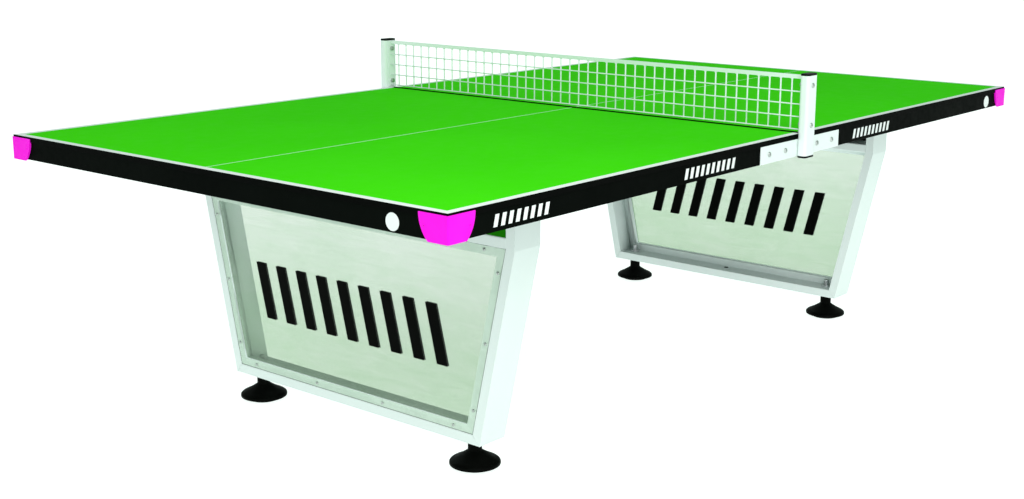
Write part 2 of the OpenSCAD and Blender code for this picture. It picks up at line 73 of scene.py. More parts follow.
def make_camera():
    """Camera at the photograph's viewing angle."""
    data = bpy.data.cameras.new("camera")
    data.sensor_fit = "HORIZONTAL"
    data.sensor_width = SENSOR
    data.lens = FOCAL_PX / FRAME_W * SENSOR
    data.shift_x, data.shift_y = SHIFT
    data.clip_start, data.clip_end = 0.05, 400.0
    ahead = Vector((
        math.cos(TILT) * math.cos(HEADING), math.cos(TILT) * math.sin(HEADING), math.sin(TILT)))
    level = ahead.cross(Vector((0, 0, 1))).normalized()
    top = level.cross(ahead)
    right = level * math.cos(ROLL) + top * math.sin(ROLL)
    up = top * math.cos(ROLL) - level * math.sin(ROLL)
    turn = Matrix((right, up, -ahead)).transposed().to_4x4()
    camera = bpy.data.objects.new("camera", data)
    camera.matrix_world = Matrix.Translation(CAMERA_AT) @ turn
    scene.collection.objects.link(camera)
    scene.camera = camera


make_camera()
scene.view_settings.view_transform = "Standard"
scene.view_settings.look = "None"


# ---------------------------------------------------------------- materials
class Graph:
    """A node tree that is built one call per node."""

    def __init__(self, name):
        self.material = bpy.data.materials.new(name)
        self.material.use_nodes = True
        self.tree = self.material.node_tree
        self.tree.nodes.clear()
        self.place = self.add("ShaderNodeTexCoord").outputs["Object"]

    def add(self, kind, inputs=None, **settings):
        node = self.tree.nodes.new(kind)
        for key, value in settings.items():
            setattr(node, key, value)
        for key, value in (inputs or {}).items():
            if isinstance(value, bpy.types.NodeSocket):
                self.tree.links.new(value, node.inputs[key])
            else:
                node.inputs[key].default_value = value
        return node

    def noise(self, scale, detail=4.0, roughness=0.5, stretch=None, distortion=0.0):
        place = self.place
        if stretch:
            place = self.add("ShaderNodeMapping", {"Vector": place, "Scale": stretch}).outputs["Vector"]
        made = self.add(
            "ShaderNodeTexNoise",
            {"Vector": place, "Scale": scale, "Detail": detail, "Roughness": roughness,
             "Distortion": distortion},
        )
        return made.outputs["Fac"]

    def span(self, value, low, high, to_low, to_high):
        made = self.add(
            "ShaderNodeMapRange",
            {"Value": value, "From Min": low, "From Max": high, "To Min": to_low, "To Max": to_high},
        )
        return made.outputs["Result"]

    def mix(self, factor, first, second):
        made = self.add(
            "ShaderNodeMix", {0: factor, 6: first, 7: second}, data_type="RGBA", clamp_factor=True
        )
        return made.outputs[2]

    def math(self, operation, first, second):
        made = self.add("ShaderNodeMath", {0: first, 1: second}, operation=operation)
        return made.outputs[0]

    def edges(self, radius, low=0.02, high=0.35):
        """1 on rounded-over edges, 0 on flat faces."""
        soft = self.add("ShaderNodeBevel", {"Radius": radius}, samples=4).outputs["Normal"]
        hard = self.add("ShaderNodeNewGeometry").outputs["Normal"]
        dot = self.add("ShaderNodeVectorMath", {0: soft, 1: hard}, operation="DOT_PRODUCT")
        alike = dot.outputs["Value"]
        return self.span(alike, 1.0 - low, 1.0 - high, 0.0, 1.0)

    def finish(self, colour, roughness, height, depth, **fixed):
        bump = self.add("ShaderNodeBump", {"Height": height, "Distance": depth, "Strength": 1.0})
        normal = bump.outputs["Normal"]
        inputs = {"Base Color": colour, "Roughness": roughness, "Normal": normal}
        inputs.update(fixed)
        shader = self.add("ShaderNodeBsdfPrincipled", inputs)
        out = self.add("ShaderNodeOutputMaterial")
        self.tree.links.new(shader.outputs["BSDF"], out.inputs["Surface"])
        return self.material


def rgba(red, green, blue):
    return (red, green, blue, 1.0)


def sealed_sides(g, colour):
    """The colour on top and black on the upright sides of the sheet."""
    normal = g.add("ShaderNodeNewGeometry").outputs["Normal"]
    upright = g.add("ShaderNodeSeparateXYZ", {"Vector": normal}).outputs["Z"]
    return g.mix(g.span(upright, 0.3, 0.6, 0.0, 1.0), rgba(0.003, 0.004, 0.003), colour)


def laminate_green(name, dark, light, sealed):
    """Decor sheet: satin, with faint ball marks and fine grain; its sides are black where they are sealed."""
    g = Graph(name)
    broad = g.noise(1.3, detail=3.0)
    colour = g.mix(g.span(broad, 0.3, 0.7, 0, 1), rgba(*dark), rgba(*light))
    speck = g.noise(420.0, detail=2.0)
    colour = g.mix(g.span(speck, 0.45, 0.75, 0.0, 0.10), colour, rgba(0.02, 0.42, 0.004))
    scuff = g.noise(9.0, detail=8.0, roughness=0.7, stretch=(1.0, 3.0, 1.0), distortion=0.6)
    colour = g.mix(g.span(scuff, 0.64, 0.82, 0.0, 0.06), colour, rgba(0.12, 0.74, 0.08))
    rough = g.span(g.noise(30.0, detail=5.0), 0.3, 0.7, 0.42, 0.54)
    grain = g.noise(900.0, detail=2.0)
    colour = sealed_sides(g, colour) if sealed else colour
    return g.finish(colour, rough, grain, 0.00003, **{"Specular IOR Level": 0.001})


def line_paint():
    """White court lines, slightly worn."""
    g = Graph("line_white")
    worn = g.noise(55.0, detail=8.0, roughness=0.7)
    colour = g.mix(g.span(worn, 0.35, 0.75, 0.0, 1.0), rgba(0.88, 0.93, 0.91), rgba(0.80, 0.87, 0.83))
    scratch = g.noise(16.0, detail=9.0, roughness=0.75, stretch=(4.0, 1.0, 1.0))
    colour = g.mix(g.span(scratch, 0.68, 0.8, 0.0, 0.12), colour, rgba(0.45, 0.72, 0.40))
    rough = g.span(worn, 0.3, 0.7, 0.36, 0.5)
    grain = g.noise(800.0, detail=2.0)
    return g.finish(sealed_sides(g, colour), rough, grain, 0.00003, **{"Specular IOR Level": 0.20})


def black_laminate():
    """Sawn and sealed edge of the board core."""
    g = Graph("laminate_black")
    layers = g.noise(40.0, detail=5.0, stretch=(1.0, 1.0, 45.0))
    dark, light = rgba(0.0009, 0.0012, 0.0010), rgba(0.0026, 0.0032, 0.0028)
    colour = g.mix(g.span(layers, 0.3, 0.7, 0.0, 1.0), dark, light)
    rough = g.span(g.noise(120.0), 0.3, 0.7, 0.45, 0.62)
    return g.finish(colour, rough, layers, 0.00006, **{"Specular IOR Level": 0.01})


def powder_coat(name, dark, light, worn, rough, specular, dirt, peel=520.0, depth=0.00005):
    """Powder-coated steel: orange peel, soft colour drift, dust and thin wear on the edges."""
    g = Graph(name)
    drift = g.noise(3.2, detail=4.0)
    colour = g.mix(g.span(drift, 0.32, 0.68, 0.0, 1.0), rgba(*dark), rgba(*light))
    dust = g.noise(24.0, detail=9.0, roughness=0.72)
    colour = g.mix(g.span(dust, 0.58, 0.82, 0.0, 0.35), colour, rgba(*dirt))
    chips = g.math("MULTIPLY", g.edges(0.0012), g.span(g.noise(130.0, detail=6.0), 0.46, 0.62, 0.0, 0.7))
    colour = g.mix(chips, colour, rgba(*worn))
    low, high = rough
    roughness = g.span(g.noise(60.0, detail=5.0), 0.3, 0.7, low, high)
    return g.finish(colour, roughness, g.noise(peel, detail=2.0), depth, **{"Specular IOR Level": specular})


def moulded(name, dark, light, rough, specular, grain=700.0, depth=0.00005, rubbed=None):
    """Moulded plastic: fine spark-eroded grain, flow marks and rubbed edges."""
    g = Graph(name)
    flow = g.noise(11.0, detail=5.0, distortion=1.2)
    colour = g.mix(g.span(flow, 0.3, 0.7, 0.0, 1.0), rgba(*dark), rgba(*light))
    if rubbed:
        edge = g.math("MULTIPLY", g.edges(0.0015), g.span(g.noise(90.0, detail=5.0), 0.4, 0.65, 0.0, 0.6))
        colour = g.mix(edge, colour, rgba(*rubbed))
    low, high = rough
    roughness = g.span(g.noise(45.0, detail=6.0), 0.3, 0.7, low, high)
    height = g.math("ADD", g.noise(grain, detail=2.0), g.math("MULTIPLY", g.noise(grain * 0.2), 0.6))
    return g.finish(colour, roughness, height, depth, **{"Specular IOR Level": specular})


def metal(name, dark, light, rough, stretch, depth=0.00002):
    """Plated or stainless steel with fine turning marks."""
    g = Graph(name)
    tone = g.noise(70.0, detail=5.0)
    colour = g.mix(g.span(tone, 0.3, 0.7, 0.0, 1.0), rgba(*dark), rgba(*light))
    marks = g.noise(600.0, detail=4.0, stretch=stretch)
    low, high = rough
    roughness = g.span(marks, 0.3, 0.7, low, high)
    return g.finish(colour, roughness, marks, depth, **{"Metallic": 1.0})


def clear_sheet(name, dark, light, streaks, haze, fade=None):
    """Clear sheet with a soft cloudy tint and a brushed haze; fade is the height over which the tint is
    painted lighter, so that it holds painted shade and a painted reflection, darker and rippled low down.
    """
    g = Graph(name)
    cloud_and_painted_shade = g.span(g.noise(2.6, detail=7.0, roughness=0.62, distortion=0.5), 0.3, 0.7, 0.0, 1.0)
    # Painted shade and painted reflection: the tint is darkened and rippled low on the sheet and lightens
    # upward.
    if fade:
        height = g.add("ShaderNodeSeparateXYZ", {"Vector": g.place}).outputs["Z"]
        painted_reflection_ripple = g.noise(11.0, detail=6.0, roughness=0.6, stretch=(1.0, 0.6, 3.2), distortion=0.8)
        cloud_and_painted_shade = g.math("ADD", g.math("MULTIPLY", cloud_and_painted_shade, 0.30), g.span(painted_reflection_ripple, 0.35, 0.65, -0.14, 0.14))
        cloud_and_painted_shade = g.math("ADD", cloud_and_painted_shade, g.span(height, *fade, 0.0, 0.72))
    tint = g.mix(cloud_and_painted_shade, rgba(*dark), rgba(*light))
    streak = g.noise(5.0, detail=9.0, roughness=0.68, stretch=streaks)
    film = g.mix(g.span(streak, 0.35, 0.75, 0.0, 1.0), rgba(0.56, 0.70, 0.58), rgba(0.68, 0.80, 0.70))
    low, high = haze
    cover = g.span(streak, 0.25, 0.8, low, high)
    relief = g.add("ShaderNodeBump", {"Height": streak, "Distance": 0.00006, "Strength": 1.0})
    bump = relief.outputs["Normal"]
    rough = g.span(streak, 0.3, 0.7, 0.18, 0.32)
    clear = g.add("ShaderNodeBsdfTransparent", {"Color": tint}).outputs["BSDF"]
    skin = g.add("ShaderNodeBsdfPrincipled", {"Base Color": film, "Roughness": rough, "Normal": bump,
                                              "Specular IOR Level": 0.5}).outputs["BSDF"]
    both = g.add("ShaderNodeMixShader", {0: cover, 1: clear, 2: skin}).outputs["Shader"]
    g.add("ShaderNodeOutputMaterial", {"Surface": both})
    return g.material


def vinyl(name, dark, light, specular):
    """Cut film, faintly textured by the roller that laid it."""
    g = Graph(name)
    tone = g.noise(14.0, detail=6.0)
    colour = g.mix(g.span(tone, 0.3, 0.7, 0.0, 1.0), rgba(*dark), rgba(*light))
    rough = g.span(g.noise(80.0, detail=4.0), 0.3, 0.7, 0.34, 0.5)
    return g.finish(colour, rough, g.noise(350.0, detail=3.0), 0.00004, **{"Specular IOR Level": specular})


MATERIALS = {
    "laminate_black": black_laminate(),
    "court_green": laminate_green("court_green", (0.050, 0.710, 0.0032), (0.057, 0.770, 0.0044), sealed=True),
    "line_white": line_paint(),
    "frame_black": powder_coat(
        "frame_black", (0.0010, 0.0017, 0.0012), (0.0022, 0.0034, 0.0025), (0.016, 0.019, 0.017),
        (0.40, 0.56), 0.008, (0.004, 0.0052, 0.0044)),
    "paint_white": powder_coat(
        "paint_white", (0.755, 0.845, 0.820), (0.785, 0.875, 0.850), (0.54, 0.61, 0.58),
        (0.34, 0.48), 0.20, (0.66, 0.77, 0.73)),
    "guard_magenta": moulded(
        "guard_magenta", (0.90, 0.0060, 0.68), (0.95, 0.0100, 0.76), (0.36, 0.50), 0.05,
        rubbed=(0.97, 0.07, 0.80)),
    "zinc_steel": metal(
        "zinc_steel", (0.50, 0.52, 0.53), (0.68, 0.70, 0.71), (0.30, 0.46), (1.0, 1.0, 3.0)),
    "stainless_steel": metal(
        "stainless_steel", (0.42, 0.46, 0.44), (0.56, 0.60, 0.58), (0.26, 0.40), (1.0, 2.0, 1.0)),
    "cap_black": moulded(
        "cap_black", (0.003, 0.003, 0.0035), (0.007, 0.007, 0.0075), (0.40, 0.55), 0.06),
    "nut_black": moulded(
        "nut_black", (0.003, 0.003, 0.0035), (0.007, 0.007, 0.0075), (0.34, 0.5), 0.06),
    "foot_black": moulded(
        "foot_black", (0.0009, 0.0012, 0.0009), (0.0020, 0.0026, 0.0019), (0.42, 0.58), 0.025,
        grain=520.0, depth=0.00008, rubbed=(0.012, 0.013, 0.012)),
    "panel_clear": clear_sheet(
        "panel_clear", (0.965, 0.985, 0.972), (0.980, 0.994, 0.984), (1.0, 1.0, 34.0), (0.03, 0.06)),
    "vinyl_black": vinyl("vinyl_black", (0.0010, 0.0013, 0.0010), (0.0022, 0.0027, 0.0022), 0.015),
    "vinyl_white": vinyl("vinyl_white", (0.74, 0.80, 0.78), (0.82, 0.87, 0.85), 0.2),
}


def slot_of(node):
    return NODES[node].data.materials[0].name.split(".")[0]


SLOT_OF = {name: slot_of(name) for name in NODES}
for name, thing in NODES.items():
    for place in thing.material_slots:
        place.material = MATERIALS[SLOT_OF[name]]
# Fascia sheets: the court green laminate made about a fifth as bright, painted shade of the overhang.
NODES["fascia_sheets"].material_slots[0].material = laminate_green(
    "board_green_painted_shade", (0.008, 0.150, 0.0012), (0.011, 0.180, 0.0018), sealed=False)


# ---------------------------------------------------------------- mesh helpers
WELD = 2e-6                    # metres; corners of a solid that are this close are one
FLAT_ANGLE = math.radians(0.4)
EDGE_ANGLE = math.radians(25.0)
BEND_STEPS = 3


def place_piece(name, bm, slot, body="table", sharp=35.0):
    """Turns a bmesh into a smooth-shaded piece that rides a body."""
    mesh = bpy.data.meshes.new(name)
    bmesh.ops.recalc_face_normals(bm, faces=bm.faces)
    bm.to_mesh(mesh)
    bm.free()
    mesh.polygons.foreach_set("use_smooth", [True] * len(mesh.polygons))
    mesh.set_sharp_from_angle(angle=math.radians(sharp))
    mesh.materials.append(MATERIALS[slot])
    piece = bpy.data.objects.new(name, mesh)
    scene.collection.objects.link(piece)
    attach(piece, body)
    return piece


def welded(node):
    """The node's own solid with its faces joined up and its flat faces whole."""
    bm = bmesh.new()
    bm.from_mesh(NODES[node].data)
    bmesh.ops.remove_doubles(bm, verts=bm.verts, dist=WELD)
    bmesh.ops.dissolve_limit(
        bm, angle_limit=FLAT_ANGLE, verts=bm.verts, edges=bm.edges, use_dissolve_boundaries=False
    )
    return bm


def rounded_node(node, width=0.8, bend=None, bend_width=3.0, shortest=6.0):
    """The node with its long edges rounded; bend(middle, direction, outward) picks the folded edges."""
    bm = welded(node)
    bm.normal_update()
    weight = bm.edges.layers.float.new("bevel_weight_edge")
    widest = max(width, bend_width if bend else 0.0)
    for edge in bm.edges:
        if len(edge.link_faces) != 2 or edge.calc_length() < shortest * MM:
            continue
        if edge.calc_face_angle(0.0) < EDGE_ANGLE:
            continue
        a, b = (v.co for v in edge.verts)
        outward = edge.link_faces[0].normal + edge.link_faces[1].normal
        folded = bend is not None and bend((a + b) / 2, (b - a).normalized(), outward)
        edge[weight] = 1.0 if folded else width / widest
    piece = place_piece(node + "_finished", bm, SLOT_OF[node])
    rounding = piece.modifiers.new("rounding", "BEVEL")
    rounding.limit_method = "WEIGHT"
    rounding.width = widest * MM
    rounding.segments = BEND_STEPS
    rounding.harden_normals = True
    rounding.use_clamp_overlap = True
    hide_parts(node)
    return piece


def islands(node):
    """(lowest corner, highest corner) of every separate solid in a node."""
    bm = bmesh.new()
    bm.from_mesh(NODES[node].data)
    bmesh.ops.remove_doubles(bm, verts=bm.verts, dist=WELD)
    left, found = set(bm.verts), []
    while left:
        todo = [left.pop()]
        low, high = todo[0].co.copy(), todo[0].co.copy()
        while todo:
            vert = todo.pop()
            low = Vector(map(min, low, vert.co))
            high = Vector(map(max, high, vert.co))
            for edge in vert.link_edges:
                other = edge.other_vert(vert)
                if other in left:
                    left.remove(other)
                    todo.append(other)
        found.append((low, high))
    bm.free()
    return sorted(found, key=lambda pair: tuple(round(c, 4) for c in pair[0]))


def ring(bm, radius, z, count, turn):
    """A ring of vertices; radius is a number or a function of the angle."""
    made = []
    for k in range(count):
        angle = 2 * math.pi * k / count
        r = radius(angle) if callable(radius) else radius
        made.append(bm.verts.new(turn @ Vector((r * math.cos(angle), r * math.sin(angle), z))))
    return made


def lathe(bm, profile, count=32, turn=None):
    """Surface of revolution through (radius, z) points in mm; a radius of 0 closes an end."""
    turn = turn or Matrix.Identity(4)
    last = None
    for radius, z in profile:
        if not callable(radius) and radius == 0:
            now = [bm.verts.new(turn @ Vector((0, 0, z * MM)))]
        else:
            scaled = (lambda a, f=radius: f(a) * MM) if callable(radius) else radius * MM
            now = ring(bm, scaled, z * MM, count, turn)
        if last is not None:
            for k in range(count):
                after = (k + 1) % count
                if len(last) == 1:
                    bm.faces.new((last[0], now[k], now[after]))
                elif len(now) == 1:
                    bm.faces.new((last[k], now[0], last[after]))
                else:
                    bm.faces.new((last[k], now[k], now[after], last[after]))
        last = now


def hexagon(corner, limit=1e9):
    """Radius of a hexagon as a function of the angle, cut off at a limit."""
    flat = corner * math.cos(math.pi / 6)

    def radius(angle):
        return min(limit, flat / math.cos((angle % (math.pi / 3)) - math.pi / 6))

    return radius


def along(origin, direction):
    """Matrix that stands +Z along a direction at an origin."""
    return Matrix.Translation(origin) @ Vector(direction).to_track_quat("Z", "Y").to_matrix().to_4x4()


def button_bolt(bm, turn, head_r, head_h, shank_r, socket, reach, nut_at=None, nut_r=0.0, nut_h=0.0):
    """Domed head with a hexagon socket, its shank, and a chamfered nut on the far side. Sizes in mm."""
    depth = head_h * 0.62
    dome = [(math.sin(a), math.cos(a)) for a in (math.radians(d) for d in (82, 68, 54, 40, 28))]
    rise = head_h * 0.86
    profile = [(0, -reach), (shank_r - 0.6, -reach), (shank_r, -reach + 0.6), (shank_r, 0.0),
               (head_r - 0.3, 0.0), (head_r, 0.3), (head_r, head_h * 0.14)]
    profile += [(head_r * (0.30 + 0.70 * s), head_h * 0.14 + rise * c) for s, c in dome]
    profile += [(hexagon(socket + 0.35), head_h - 0.02), (hexagon(socket), head_h - 0.35),
                (hexagon(socket), head_h - depth), (0, head_h - depth - 0.4)]
    lathe(bm, profile, 24, turn)
    if nut_at is not None:
        flat = nut_r * math.cos(math.pi / 6)
        chamfered = hexagon(nut_r, flat * 1.02)
        nut = [(shank_r + 0.05, nut_at), (chamfered, nut_at), (hexagon(nut_r), nut_at - nut_h * 0.14),
               (hexagon(nut_r), nut_at - nut_h * 0.86), (chamfered, nut_at - nut_h),
               (shank_r + 0.7, nut_at - nut_h), (shank_r + 0.05, nut_at - nut_h + 0.6),
               (shank_r + 0.05, nut_at)]
        lathe(bm, nut, 24, turn)


# ---------------------------------------------------------------- table top and apron
RAIL_BEND = 3.0


def near_value(value, target):
    return abs(abs(value) - target) < 0.4 * MM


def rail_bend(node):
    """Picks the folded outer edges of an apron channel."""
    low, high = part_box(node)
    wide = high - low

    def pick(middle, direction, _outward):
        if wide.x > wide.y:
            outer = max((low.y, high.y), key=abs)
            return abs(direction.x) > 0.9 and near_value(middle.y, abs(outer))
        outer = max((low.x, high.x), key=abs) if "end" in node else min((low.x, high.x), key=abs)
        return abs(direction.y) > 0.9 and near_value(middle.x, abs(outer))

    return pick


for node in ("core_near", "core_far"):
    rounded_node(node, width=0.5)
for node in NODES:
    if "_rail_" in node:
        rounded_node(node, width=0.35, bend=rail_bend(node), bend_width=RAIL_BEND)
for node in ("leg_beam_near", "leg_beam_far", "stringers"):
    rounded_node(node, width=1.2)
for node in ("guard_near_right", "guard_near_left", "guard_far_right", "guard_far_left"):
    rounded_node(node, width=0.7, shortest=0.5)

# ---------------------------------------------------------------- posts, plates and net
for node in ("post_plate_right", "post_plate_left"):
    rounded_node(node, width=0.8)
for node in ("post_right", "post_left"):
    rounded_node(node, width=0.4)
for node in ("net_flange_right", "net_flange_left", "net_band"):
    rounded_node(node, width=0.6)
rounded_node("post_caps", width=1.2, shortest=0.2)


def outward(node_low, node_high):
    """Direction out of the table of a bolt that lies across it."""
    return (0, 1 if node_low.y + node_high.y > 0 else -1, 0)


BOLT_TIP = 1.5                 # mm of thread that stands out of a nut


def make_bolts(node, head_r, head_h, shank_r, socket, nut_r, nut_h):
    """Every bolt of a group that lies across the table, head outwards."""
    bm = bmesh.new()
    for low, high in islands(node):
        middle = (low + high) / 2
        way = outward(low, high)
        length = (high.y - low.y) / MM
        tip = high.y if way[1] > 0 else low.y
        seat = Vector((middle.x, tip - way[1] * head_h * MM, middle.z))
        reach = length - head_h
        button_bolt(bm, along(seat, way), head_r, head_h, shank_r, socket, reach,
                    nut_at=-(reach - BOLT_TIP - nut_h), nut_r=nut_r, nut_h=nut_h)
    piece = place_piece(node + "_finished", bm, SLOT_OF[node], sharp=28.0)
    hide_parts(node)


make_bolts("plate_bolts", 7.0, 4.0, 4.0, 2.6, 7.5, 6.5)
make_bolts("post_bolts", 7.0, 3.5, 4.0, 2.6, 7.5, 6.5)

MESH_PITCH = 33.8 * MM
UPRIGHT_D = 4.2 * MM
LEVEL_D = 3.4 * MM
LEVEL_ROWS = 4
FILLET = 4.5 * MM
BEAD = (2.2 * MM, 2.7 * MM, 2.7 * MM)
WEB_OUT = 1.6 * MM
WEB_THICK = 2.4 * MM


def tube(bm, start, end, radius, count=12):
    """Closed round bar with slightly rounded ends."""
    way = end - start
    turn = along(start, way)
    length, r = way.length / MM, radius / MM
    soft = r * 0.25
    profile = [(0, 0), (r - soft, 0), (r, soft), (r, length - soft), (r - soft, length), (0, length)]
    lathe(bm, profile, count, turn)


def nugget(bm, at, radii):
    """Flattened weld bead."""
    turn = Matrix.Translation(at) @ Matrix.Diagonal((*radii, 1.0))
    steps = [math.radians(a) for a in (-60, -30, 0, 30, 60)]
    profile = [(0, -1 / MM)] + [(math.cos(a) / MM, math.sin(a) / MM) for a in steps] + [(0, 1 / MM)]
    lathe(bm, profile, 8, turn)


def corner_web(bm, corner, side, size, thick):
    """Small concave web between an upright and the band above it."""
    steps = 5
    angles = [math.pi / 2 * k / steps for k in range(steps + 1)]
    curve = [(size * (1 - math.sin(a)), size * (1 - math.cos(a))) for a in angles]
    front, back = [], []
    for x, out in ((-thick / 2, front), (thick / 2, back)):
        out.append(bm.verts.new(corner + Vector((x, 0, 0))))
        for a, b in curve:
            out.append(bm.verts.new(corner + Vector((x, side * b, -a))))
    count = len(front)
    bm.faces.new(front)
    bm.faces.new(back[::-1])
    for k in range(count):
        after = (k + 1) % count
        bm.faces.new((front[k], back[k], back[after], front[after]))


def make_net():
    """Welded wire mesh under the flat top band."""
    low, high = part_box("net_mesh")
    bm = bmesh.new()
    front_x = low.x + LEVEL_D / 2
    first, tall = low.z + LEVEL_D / 2, high.z - low.z - LEVEL_D / 2
    rows = [first + k * tall / LEVEL_ROWS for k in range(LEVEL_ROWS)]
    count = int((high.y - MESH_PITCH / 2) / MESH_PITCH)
    columns = [s * (k + 0.5) * MESH_PITCH for k in range(count + 1) for s in (-1, 1)]
    for y in columns:
        tube(bm, Vector((0, y, low.z)), Vector((0, y, high.z)), UPRIGHT_D / 2)
        for z in rows:
            nugget(bm, Vector((front_x / 2 - 0.2 * MM, y, z)), BEAD)
        for side in (-1, 1):
            corner_web(bm, Vector((0, y + side * WEB_OUT, high.z)), side, FILLET, WEB_THICK)
    for z in rows:
        tube(bm, Vector((front_x, low.y, z)), Vector((front_x, high.y, z)), LEVEL_D / 2)
    piece = place_piece("net_mesh_finished", bm, SLOT_OF["net_mesh"], sharp=50.0)
    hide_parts("net_mesh")


make_net()

# ---------------------------------------------------------------- leg frames
LEG_BEND = 3.2


def leg_bend(node):
    """Picks the folded edges of a leg member: all its long ones, except those that meet the panel."""
    low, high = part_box(node)
    panel = "panel_near" if "near" in node else "panel_far"
    centre = sum(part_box(panel), Vector()) / 2
    face = max(abs(low.x), abs(high.x))

    def pick(middle, direction, outward):
        if abs(direction.x) > 0.05:
            return False
        if near_value(middle.x, face):
            return outward.y * (middle.y - centre.y) + outward.z * (middle.z - centre.z) > 0
        return near_value(middle.x, min(abs(low.x), abs(high.x)))

    return pick


for node in NODES:
    if node.startswith("leg_") and node.split("_")[-1] in ("bottom", "top", "right", "left"):
        rounded_node(node, width=0.4, bend=leg_bend(node), bend_width=LEG_BEND, shortest=8.0)
rounded_node("leg_top_plates", width=0.8)
rounded_node("fascia_boards", width=0.5)

GROMMET_R = 8.0
MEMBER_W = 26.0 * MM


def make_grommets():
    """Rubber grommet in the drain hole of each bottom member, above and below."""
    bm = bmesh.new()
    for node in ("leg_near_bottom", "leg_far_bottom"):
        low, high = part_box(node)
        axis = Vector(((low.x + high.x) / 2, 0.0, 0.0))
        for z, way in ((low.z, -1), (low.z + MEMBER_W, 1)):
            turn = along(axis + Vector((0, 0, z)), (0, 0, way))
            profile = [(2.2, 1.2), (5.6, -3.4), (5.9, 0.0), (GROMMET_R, 0.0), (GROMMET_R, 0.6),
                       (6.8, 1.3), (4.6, 1.5), (2.2, 1.2)]
            lathe(bm, profile, 28, turn)
    place_piece("drain_grommets", bm, "nut_black", sharp=40.0)


make_grommets()

# ---------------------------------------------------------------- clear panels
RIM_W = 21.5 * MM
GASKET_W = 0.6 * MM
# Tinted film whose own tint is painted darker and rippled low down and lighter upward: painted shade and a
# painted reflection.
FILM_WITH_PAINTED_SHADE = clear_sheet(
    "tinted_film", (0.725, 0.800, 0.705), (0.840, 0.853, 0.828), (1.0, 0.6, 0.8), (0.03, 0.06),
    fade=(0.24, 0.54))
# Pale frosted border over each rim: painted light that lifts the shade on the rim behind the panel.
FROST_PAINTED_LIGHT = clear_sheet(
    "frosted_border", (0.90, 0.94, 0.92), (0.93, 0.96, 0.94), (1.0, 1.0, 1.0), (0.50, 0.62))


def panel_outline(node, inset):
    """Corners of a panel's four-sided outline as (y, z), moved inwards by inset."""
    low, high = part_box(node)
    points = [v.co for v in NODES[node].data.vertices]
    foot = max(p.y for p in points if p.z < low.z + 0.1 * MM)
    head = max(p.y for p in points if p.z > high.z - 0.1 * MM)
    lean = (head - foot) / (high.z - low.z)
    side = inset * math.sqrt(1 + lean * lean)
    bottom, top = inset, high.z - low.z - inset
    corners = [(foot + lean * bottom - side, low.z + bottom),
               (foot + lean * top - side, low.z + top)]
    return corners + [(-y, z) for y, z in reversed(corners)]


def make_painted_light_border(node):
    """Frosted border of a panel, just under its outer face, over the rim; its pale cover is painted light
    that lifts the shade on the rim.
    """
    low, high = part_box(node)
    near = low.x < 0
    way = 1 if near else -1
    outer = low.x if near else high.x
    depths = [outer + way * depth * MM for depth in (0.25, 0.35)]
    bm = bmesh.new()
    edge, opening = panel_outline(node, 0.4 * MM), panel_outline(node, RIM_W - 0.2 * MM)
    corners = ((depths[0], edge), (depths[0], opening), (depths[1], opening), (depths[1], edge))
    loops = [[bm.verts.new((x, y, z)) for y, z in outline] for x, outline in corners]
    for k, loop in enumerate(loops):
        other = loops[(k + 1) % len(loops)]
        for j in range(4):
            after = (j + 1) % 4
            bm.faces.new((loop[j], loop[after], other[after], other[j]))
    border = place_piece(node + "_border", bm, "panel_clear")
    border.data.materials[0] = FROST_PAINTED_LIGHT
    return border


def make_film(node):
    """Thin tinted film just under the inner face of a panel, inside the rim; low down its tint holds painted
    shade and a painted reflection.
    """
    low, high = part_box(node)
    near = low.x < 0
    way = 1 if near else -1
    inner = high.x if near else low.x
    bm = bmesh.new()
    outline = panel_outline(node, RIM_W)
    layers = [[bm.verts.new((inner - way * depth * MM, y, z)) for y, z in outline]
              for depth in (0.15, 0.35)]
    bm.faces.new(layers[0])
    bm.faces.new(layers[1][::-1])
    for k in range(4):
        after = (k + 1) % 4
        bm.faces.new((layers[0][k], layers[1][k], layers[1][after], layers[0][after]))
    film = place_piece(node + "_film", bm, "panel_clear")
    film.data.materials[0] = FILM_WITH_PAINTED_SHADE
    return film


def make_painted_shade_gasket(node):
    """Thin rubber strip that fills the open joint round a panel; its black darkens the joint as painted
    shade.
    """
    low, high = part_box(node)
    near = low.x < 0
    outer = low.x if near else high.x
    way = 1 if near else -1
    bm = bmesh.new()
    section = [(GASKET_W, 0.4), (GASKET_W * 0.5, 0.15), (0.05 * MM, 0.4), (0.05 * MM, 1.2),
               (GASKET_W, 1.2)]
    loops = [[bm.verts.new((outer + way * depth * MM, y, z)) for y, z in panel_outline(node, -out)]
             for out, depth in section]
    for k, loop in enumerate(loops):
        other = loops[(k + 1) % len(loops)]
        for j in range(4):
            after = (j + 1) % 4
            bm.faces.new((loop[j], loop[after], other[after], other[j]))
    place_piece(node + "_gasket", bm, "foot_black")


for node in ("panel_near", "panel_far"):
    clear = [rounded_node(node, width=0.3, shortest=8.0), make_film(node), make_painted_light_border(node)]
    make_painted_shade_gasket(node)
    for sheet in clear:
        sheet.visible_shadow = False
        sheet.visible_diffuse = False


SCREW_HEAD_R, SCREW_HEAD_H = 4.2, 2.2
SCREW_R = 2.0
SCREW_SOCKET = 1.5


def make_screws():
    """Small button screws round each clear panel."""
    bm = bmesh.new()
    for low, high in islands("panel_screws"):
        middle = (low + high) / 2
        way = (1 if middle.x > 0 else -1, 0, 0)
        tip = high.x if middle.x > 0 else low.x
        seat = Vector((tip - way[0] * SCREW_HEAD_H * MM, middle.y, middle.z))
        reach = (high.x - low.x) / MM - SCREW_HEAD_H
        button_bolt(bm, along(seat, way), SCREW_HEAD_R, SCREW_HEAD_H, SCREW_R, SCREW_SOCKET, reach)
    piece = place_piece("panel_screws_finished", bm, SLOT_OF["panel_screws"], sharp=28.0)
    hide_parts("panel_screws")


RIVET_H = 1.2


